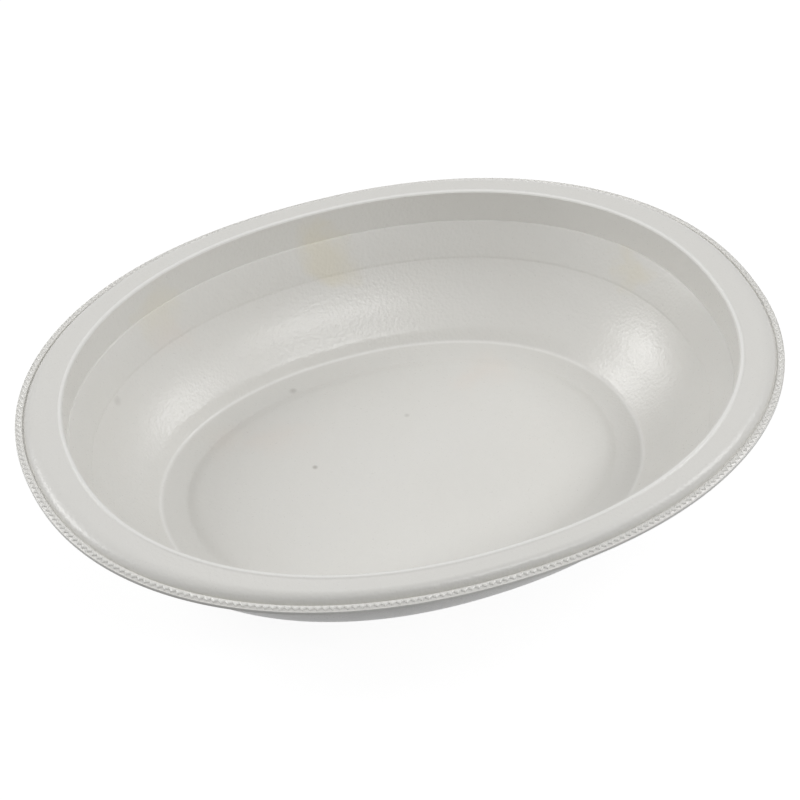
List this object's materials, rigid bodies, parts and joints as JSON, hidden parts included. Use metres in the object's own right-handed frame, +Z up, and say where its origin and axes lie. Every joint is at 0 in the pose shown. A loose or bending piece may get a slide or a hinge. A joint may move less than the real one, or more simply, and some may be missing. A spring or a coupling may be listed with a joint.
{
  "type": "deli tray",
  "caption": "Shallow oval takeaway tray, thermoformed in one piece from foam sheet, with sloping walls, a raised floor panel, a flat rim flange and a thin knurled lip.",
  "frame": {"origin": "on the table, under the centre of the tray", "axes": "+X along the tray's length, +Y across it, +Z up out of the bowl"},
  "size_m": [0.23, 0.1738, 0.0432],
  "materials": {
    "foam": "satin foamed polystyrene, off-white"
  },
  "bodies": {
    "root": {"tray": "foam"}
  },
  "joints": []
}
